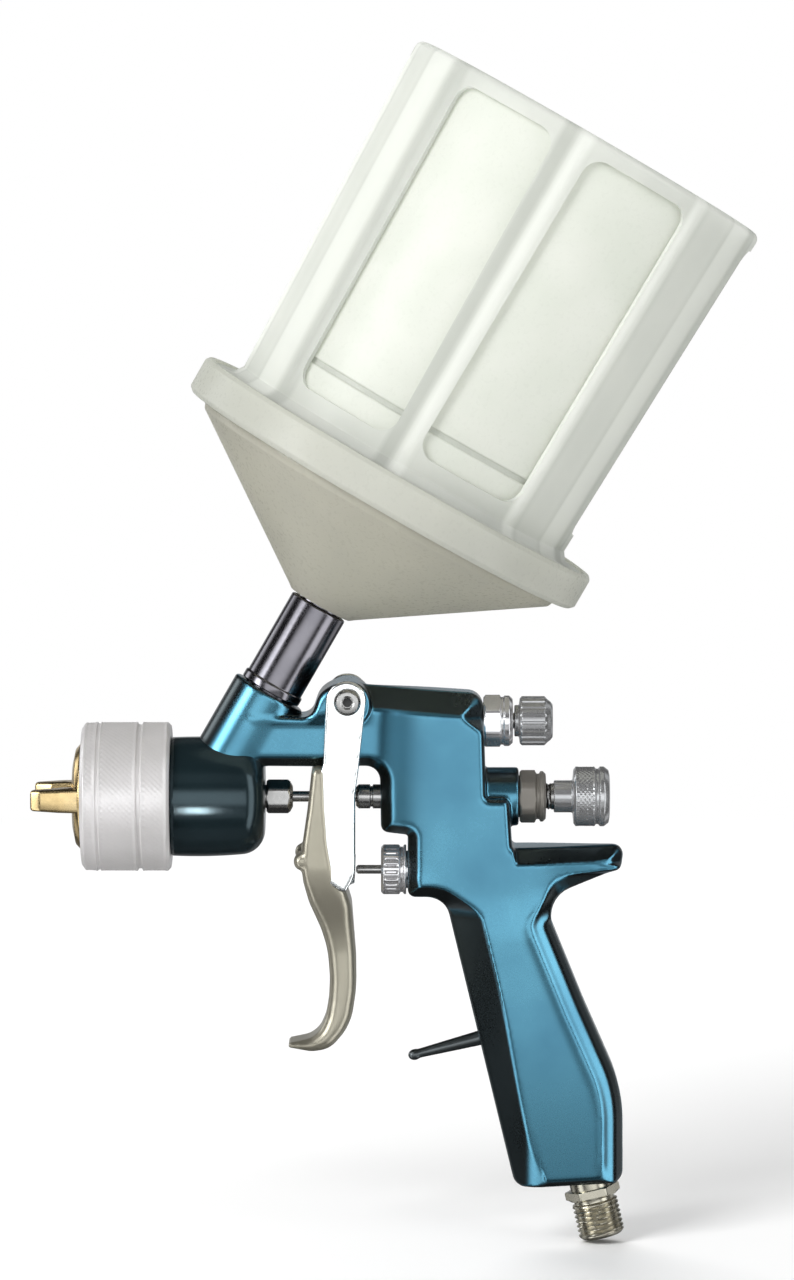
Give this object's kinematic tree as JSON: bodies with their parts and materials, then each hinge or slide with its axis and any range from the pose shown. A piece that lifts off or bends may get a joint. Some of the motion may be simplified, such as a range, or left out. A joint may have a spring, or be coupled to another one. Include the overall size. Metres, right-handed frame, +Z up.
{
  "type": "gravity-feed spray gun",
  "caption": "Gravity-feed HVLP paint spray gun with a tilted windowed cup, curved trigger, knurled air cap ring and two rear adjusting knobs.",
  "frame": {"origin": "in the middle of the hand grip, on the gun's plane of symmetry", "axes": "+Z up with the gun held level, -X the way it sprays, the plane y = 0 halves the gun"},
  "size_m": [0.2033, 0.1238, 0.3373],
  "materials": {
    "anodised_blue": "blue anodised, satin",
    "knurled_aluminium": "bare, knurled",
    "brass": "polished",
    "chrome": "bright plated",
    "nickel": "warm nickel plate",
    "stainless": "machined",
    "spring_steel": "drawn wire",
    "seal_plastic": "natural white",
    "dark_rubber": "matt",
    "frame_plastic": "translucent, frosted",
    "liner_plastic": "translucent, milky",
    "lid_plastic": "translucent, frosted"
  },
  "bodies": {
    "gun": {"gun_body": "anodised_blue", "fluid_tip": "stainless", "air_baffle": "seal_plastic", "head_gasket": "dark_rubber", "needle_packing": "seal_plastic", "needle_packing_nut": "stainless", "fluid_valve_bushing": "brass", "spreader_housing": "chrome", "spreader_o_ring": "dark_rubber", "air_valve_nut": "nickel", "air_valve_packing": "seal_plastic", "air_valve_seat": "brass", "inlet_fitting": "nickel", "trigger_stud": "stainless", "trigger_screw": "stainless", "feed_adapter": "chrome", "adapter_gasket": "seal_plastic", "needle_spring": "spring_steel", "air_valve_spring": "spring_steel"},
    "trigger": {"trigger": "nickel"},
    "needle": {"fluid_needle": "stainless", "needle_collar": "stainless", "needle_spring_pad": "stainless"},
    "air_valve": {"air_valve_stem": "stainless", "air_valve_poppet": "seal_plastic"},
    "fluid_screw": {"needle_stop_screw": "stainless"},
    "fluid_knob": {"fluid_knob": "chrome"},
    "spreader_stem": {"spreader_stem": "stainless"},
    "spreader_knob": {"spreader_knob": "chrome"},
    "cap_carrier": {"cap_retainer_clip": "seal_plastic"},
    "retaining_ring": {"retaining_ring": "knurled_aluminium"},
    "air_cap": {"air_cap": "brass"},
    "cup_lid": {"cup_lid": "lid_plastic", "paint_strainer": "seal_plastic"},
    "lock_collar": {"lock_collar": "lid_plastic"},
    "cup": {"cup_frame": "frame_plastic", "cup_liner": "liner_plastic"}
  },
  "joints": [
    {"name": "trigger_pull", "type": "hinge", "parent": "gun", "child": "trigger", "pos_m": [-0.0538, 0, 0.0957], "axis": [0, -1, 0], "range_deg": [0, 8], "stiffness_Nm_per_rad": 5, "springref_deg": -11.46},
    {"name": "needle_slide", "type": "slide", "parent": "gun", "child": "needle", "axis": [1, 0, 0], "range_m": [0, 0.004], "deforming": ["needle_spring"]},
    {"name": "air_valve_slide", "type": "slide", "parent": "gun", "child": "air_valve", "axis": [1, 0, 0], "range_m": [0, 0.0069], "deforming": ["air_valve_spring"]},
    {"name": "fluid_screw_travel", "type": "slide", "parent": "gun", "child": "fluid_screw", "axis": [-1, 0, 0], "range_m": [0, 0.004], "deforming": ["needle_spring"]},
    {"name": "fluid_knob_turn", "type": "hinge", "parent": "fluid_screw", "child": "fluid_knob", "pos_m": [0.0146, 0, 0.068], "axis": [-1, 0, 0], "range_deg": [0, 1441]},
    {"name": "spreader_stem_travel", "type": "slide", "parent": "gun", "child": "spreader_stem", "axis": [1, 0, 0], "range_m": [0, 0.0025]},
    {"name": "spreader_knob_turn", "type": "hinge", "parent": "spreader_stem", "child": "spreader_knob", "pos_m": [0, 0, 0.0893], "axis": [1, 0, 0], "range_deg": [0, 901]},
    {"name": "cap_carrier_travel", "type": "slide", "parent": "gun", "child": "cap_carrier", "axis": [-1, 0, 0], "range_m": [0, 0.009]},
    {"name": "retaining_ring_turn", "type": "hinge", "parent": "cap_carrier", "child": "retaining_ring", "pos_m": [-0.116, 0, 0.068], "axis": [-1, 0, 0], "range_deg": [0, 2161]},
    {"name": "air_cap_turn", "type": "hinge", "parent": "cap_carrier", "child": "air_cap", "pos_m": [-0.128, 0, 0.068], "axis": [-1, 0, 0], "range_deg": [-90, 90]},
    {"name": "cup_twist", "type": "hinge", "parent": "gun", "child": "cup_lid", "pos_m": [-0.0617, 0, 0.12169], "axis": [0.5, 0, 0.866], "range_deg": [0, 90]},
    {"name": "lock_collar_turn", "type": "hinge", "parent": "cup_lid", "child": "lock_collar", "pos_m": [-0.04185, 0, 0.15608], "axis": [0.5, 0, 0.866], "range_deg": [0, 45]},
    {"name": "cup_lift", "type": "slide", "parent": "cup_lid", "child": "cup", "axis": [0.5, 0, 0.866], "range_m": [0, 0.03]}
  ],
  "couplings": [
    {"joint": "needle_slide", "follows": "trigger_pull", "m_per_rad": 0.0277},
    {"joint": "air_valve_slide", "follows": "trigger_pull", "m_per_rad": 0.0483},
    {"joint": "fluid_knob_turn", "follows": "fluid_screw_travel", "rad_per_m": 6283.2},
    {"joint": "spreader_knob_turn", "follows": "spreader_stem_travel", "rad_per_m": 6283.2},
    {"joint": "retaining_ring_turn", "follows": "cap_carrier_travel", "rad_per_m": 4188.8}
  ]
}
